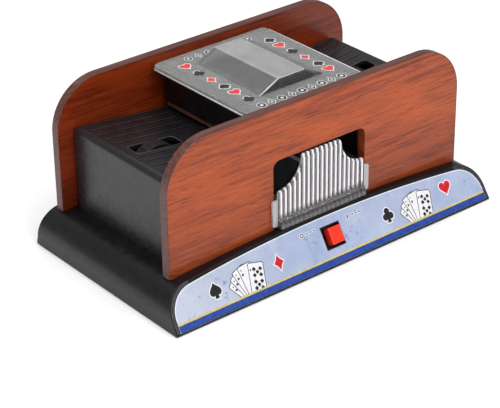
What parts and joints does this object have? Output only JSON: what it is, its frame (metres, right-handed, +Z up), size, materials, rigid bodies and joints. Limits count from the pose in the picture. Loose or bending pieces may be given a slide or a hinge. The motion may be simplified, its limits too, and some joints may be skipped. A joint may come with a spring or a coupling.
{
  "type": "automatic card shuffler",
  "caption": "Battery powered card shuffler: wood sided body with two ribbed card trays, motor driven feed wheels, clear hinged lid and a clear ribbed card drawer.",
  "frame": {"origin": "middle of the footprint, on the surface that the feet stand on", "axes": "+X along the length, -Y towards the front with the switch, +Z up"},
  "size_m": [0.24, 0.135, 0.105],
  "materials": {
    "black_plastic": "satin moulded black plastic",
    "inner_plastic": "unpainted dark grey moulding",
    "wood": "reddish brown wood grain, satin lacquer",
    "edge_banding": "grey brown edge banding",
    "blue_print": "printed pale blue label",
    "red_plastic": "glossy red plastic",
    "clear_plastic": "clear polystyrene, polished",
    "rubber": "black rubber",
    "brown_rubber": "brown rubber",
    "white_plastic": "white acetal",
    "steel": "plated steel",
    "brass": "brass",
    "battery_wrap": "plain cell wrapper",
    "wire_sheath": "wire insulation"
  },
  "bodies": {
    "root": {"back_edge_band": "edge_banding", "back_panel": "wood", "base_shell": "black_plastic", "batteries": "battery_wrap", "battery_box": "inner_plastic", "battery_contacts": "steel", "battery_door": "black_plastic", "bottom_cover": "black_plastic", "card_well": "black_plastic", "case_screws": "steel", "chassis_plate": "inner_plastic", "door_screw": "steel", "drawer_runners": "white_plastic", "feed_pads": "brown_rubber", "front_edge_band": "edge_banding", "front_label": "blue_print", "front_panel": "wood", "hinge_pins": "steel", "left_bushes": "brass", "left_gear_frame": "inner_plastic", "left_idler_pin": "steel", "left_motor": "steel", "left_motor_wires": "wire_sheath", "left_tray_housing": "black_plastic", "panel_screws": "steel", "right_bushes": "brass", "right_gear_frame": "inner_plastic", "right_idler_pin": "steel", "right_motor": "steel", "right_motor_wires": "wire_sheath", "right_tray_housing": "black_plastic", "rubber_feet": "rubber", "switch_body": "inner_plastic", "switch_cup": "black_plastic", "switch_wires": "wire_sheath"},
    "left_feed": {"left_feed_axle": "steel", "left_wheel_hub": "white_plastic", "left_wheel_tyre": "rubber", "left_axle_gear": "white_plastic"},
    "right_feed": {"right_feed_axle": "steel", "right_wheel_hub": "white_plastic", "right_wheel_tyre": "rubber", "right_axle_gear": "white_plastic"},
    "left_idler": {"left_idler_gear": "white_plastic"},
    "right_idler": {"right_idler_gear": "white_plastic"},
    "left_rotor": {"left_motor_pinion": "brass", "left_motor_shaft": "steel"},
    "right_rotor": {"right_motor_pinion": "brass", "right_motor_shaft": "steel"},
    "lid": {"clear_lid": "clear_plastic"},
    "drawer": {"drawer_tray": "clear_plastic", "drawer_front": "clear_plastic"},
    "knob": {"switch_knob": "red_plastic"}
  },
  "joints": [
    {"name": "left_feed_spin", "type": "hinge", "parent": "root", "child": "left_feed", "pos_m": [-0.0751, 0, 0.0591], "axis": [0, 1, 0], "continuous": true},
    {"name": "left_idler_spin", "type": "hinge", "parent": "root", "child": "left_idler", "pos_m": [-0.06533, 0, 0.0509], "axis": [0, 1, 0], "continuous": true},
    {"name": "left_rotor_spin", "type": "hinge", "parent": "root", "child": "left_rotor", "pos_m": [-0.05557, 0, 0.04271], "axis": [0, 1, 0], "continuous": true},
    {"name": "right_feed_spin", "type": "hinge", "parent": "root", "child": "right_feed", "pos_m": [0.0751, 0, 0.0591], "axis": [0, 1, 0], "continuous": true},
    {"name": "right_idler_spin", "type": "hinge", "parent": "root", "child": "right_idler", "pos_m": [0.06533, 0, 0.0509], "axis": [0, 1, 0], "continuous": true},
    {"name": "right_rotor_spin", "type": "hinge", "parent": "root", "child": "right_rotor", "pos_m": [0.05557, 0, 0.04271], "axis": [0, 1, 0], "continuous": true},
    {"name": "lid_hinge", "type": "hinge", "parent": "root", "child": "lid", "pos_m": [0, 0.0503, 0.0936], "axis": [-1, 0, 0], "range_deg": [0, 90]},
    {"name": "drawer_slide", "type": "slide", "parent": "root", "child": "drawer", "axis": [0, -1, 0], "range_m": [0, 0.08]},
    {"name": "switch_slide", "type": "slide", "parent": "root", "child": "knob", "axis": [-1, 0, 0], "range_m": [0, 0.0034]}
  ],
  "couplings": [
    {"joint": "left_idler_spin", "follows": "left_feed_spin", "ratio": -2.5},
    {"joint": "left_rotor_spin", "follows": "left_feed_spin", "ratio": 8},
    {"joint": "right_idler_spin", "follows": "right_feed_spin", "ratio": -2.5},
    {"joint": "right_rotor_spin", "follows": "right_feed_spin", "ratio": 8}
  ]
}
